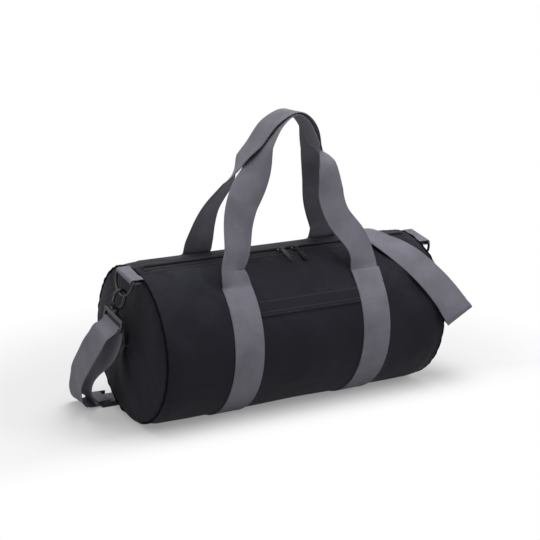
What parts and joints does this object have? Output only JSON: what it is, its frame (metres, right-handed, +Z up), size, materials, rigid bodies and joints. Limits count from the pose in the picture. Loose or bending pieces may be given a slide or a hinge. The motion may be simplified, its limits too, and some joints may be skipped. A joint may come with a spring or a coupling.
{
  "type": "barrel bag",
  "caption": "Cylindrical black fabric holdall with grey webbing bands, two carry handles, a zipped top mouth, a front zip pocket and a clip-on adjustable shoulder strap.",
  "frame": {"origin": "middle of the flat strip under the barrel, on the floor", "axes": "+X along the barrel to the right end as the front is seen, -Y towards the front pocket, +Z up"},
  "size_m": [0.6408, 0.3144, 0.4708],
  "materials": {
    "shell_fabric": "black woven polyester with a faint sheen",
    "binding": "matt black woven tape",
    "zip_tape": "black woven zip tape",
    "zip_teeth": "black nylon coil",
    "webbing": "mid-grey ribbed polypropylene webbing",
    "zip_metal": "black lacquered zinc",
    "hardware": "black lacquered zinc, semi-gloss",
    "pin_steel": "plain steel",
    "adjuster_plastic": "black moulded plastic"
  },
  "bodies": {
    "bag": {"body_panel": "shell_fabric", "left_end_panel": "shell_fabric", "right_end_panel": "shell_fabric", "left_end_piping": "shell_fabric", "right_end_piping": "shell_fabric", "left_end_binding": "binding", "right_end_binding": "binding", "zip_tape_front": "zip_tape", "zip_teeth_front": "zip_teeth", "left_zip_end": "zip_tape", "right_zip_end": "zip_tape", "left_band": "webbing", "right_band": "webbing", "pocket_pouch": "shell_fabric", "pocket_zip_tapes": "zip_tape", "pocket_zip_teeth": "zip_teeth", "left_ring_tab": "webbing", "right_ring_tab": "webbing", "shoulder_strap": "webbing", "strap_tail": "webbing", "adjuster_loop": "webbing"},
    "mouth": {"mouth_flap": "shell_fabric", "zip_tape_back": "zip_tape", "zip_teeth_back": "zip_teeth"},
    "left_slider": {"left_slider": "zip_metal"},
    "right_slider": {"right_slider": "zip_metal"},
    "left_pull": {"left_pull": "zip_metal"},
    "right_pull": {"right_pull": "zip_metal"},
    "front_handle": {"front_handle": "webbing"},
    "back_handle": {"back_handle": "webbing"},
    "pocket_strip": {"pocket_strip": "shell_fabric"},
    "pocket_slider": {"pocket_slider": "zip_metal", "pocket_pull": "zip_metal"},
    "adjuster": {"tri_glide": "adjuster_plastic"},
    "left_ring": {"left_d_ring": "hardware", "left_swivel_eye": "hardware"},
    "left_hook": {"left_hook_body": "hardware", "left_gate_pin": "pin_steel"},
    "left_gate": {"left_hook_gate": "hardware"},
    "right_ring": {"right_d_ring": "hardware", "right_swivel_eye": "hardware"},
    "right_hook": {"right_hook_body": "hardware", "right_gate_pin": "pin_steel"},
    "right_gate": {"right_hook_gate": "hardware"}
  },
  "joints": [
    {"name": "zip_open", "type": "slide", "parent": "bag", "child": "left_slider", "axis": [-1, 0, 0], "range_m": [0, 0.2165], "deforming": ["zip_teeth_front", "zip_teeth_back", "zip_tape_back"]},
    {"name": "zip_right", "type": "slide", "parent": "bag", "child": "right_slider", "axis": [1, 0, 0], "range_m": [0, 0.0935], "deforming": ["zip_teeth_front", "zip_teeth_back", "zip_tape_back"]},
    {"name": "mouth_fold", "type": "hinge", "parent": "bag", "child": "mouth", "pos_m": [0, 0.03485, 0.24406], "axis": [-1, 0, 0], "range_deg": [0, 50], "deforming": ["zip_teeth_front", "zip_teeth_back", "zip_tape_back"]},
    {"name": "left_pull_flip", "type": "hinge", "parent": "left_slider", "child": "left_pull", "pos_m": [0, -0.0268, 0.24958], "axis": [-1, 0, 0], "range_deg": [0, 150]},
    {"name": "right_pull_flip", "type": "hinge", "parent": "right_slider", "child": "right_pull", "pos_m": [0.026, -0.0268, 0.24958], "axis": [-1, 0, 0], "range_deg": [0, 150]},
    {"name": "front_handle_fold", "type": "hinge", "parent": "bag", "child": "front_handle", "pos_m": [0, -0.08565, 0.21862], "axis": [1, 0, 0], "range_deg": [0, 118]},
    {"name": "back_handle_fold", "type": "hinge", "parent": "bag", "child": "back_handle", "pos_m": [0, 0.03955, 0.24524], "axis": [-1, 0, 0], "range_deg": [0, 108]},
    {"name": "pocket_strip_lift", "type": "hinge", "parent": "bag", "child": "pocket_strip", "pos_m": [0, -0.10429, 0.19385], "axis": [-1, 0, 0], "range_deg": [0, 55]},
    {"name": "pocket_zip", "type": "slide", "parent": "bag", "child": "pocket_slider", "axis": [-1, 0, 0], "range_m": [0, 0.118], "deforming": ["pocket_zip_teeth"]},
    {"name": "adjuster_slide", "type": "slide", "parent": "bag", "child": "adjuster", "axis": [1, 0, 0], "range_m": [0, 0.04], "deforming": ["adjuster_loop"]},
    {"name": "left_ring_swing", "type": "hinge", "parent": "bag", "child": "left_ring", "pos_m": [-0.268, -0.02443, 0.23843], "axis": [0, 0.9781, 0.2079], "range_deg": [-5, 25], "deforming": ["adjuster_loop"]},
    {"name": "left_hook_turn", "type": "hinge", "parent": "left_ring", "child": "left_hook", "pos_m": [-0.27467, -0.0179, 0.20772], "axis": [-0.2079, 0.2034, -0.9568], "range_deg": [-20, 20]},
    {"name": "left_gate_open", "type": "hinge", "parent": "left_hook", "child": "left_gate", "pos_m": [-0.28607, -0.01585, 0.19809], "axis": [0, 0.9781, 0.2079], "range_deg": [0, 22], "stiffness_Nm_per_rad": 0.01, "springref_deg": -28.65},
    {"name": "right_ring_swing", "type": "hinge", "parent": "bag", "child": "right_ring", "pos_m": [0.268, -0.02443, 0.23843], "axis": [0, -0.9781, -0.2079], "range_deg": [-5, 25], "deforming": ["strap_tail"]},
    {"name": "right_hook_turn", "type": "hinge", "parent": "right_ring", "child": "right_hook", "pos_m": [0.27467, -0.0179, 0.20772], "axis": [0.2079, 0.2034, -0.9568], "range_deg": [-20, 20]},
    {"name": "right_gate_open", "type": "hinge", "parent": "right_hook", "child": "right_gate", "pos_m": [0.28607, -0.01585, 0.19809], "axis": [0, -0.9781, -0.2079], "range_deg": [0, 22], "stiffness_Nm_per_rad": 0.01, "springref_deg": -28.65}
  ],
  "couplings": [
    {"joint": "zip_right", "follows": "zip_open", "ratio": 0.43187},
    {"joint": "mouth_fold", "follows": "zip_open", "rad_per_m": 4.03}
  ]
}
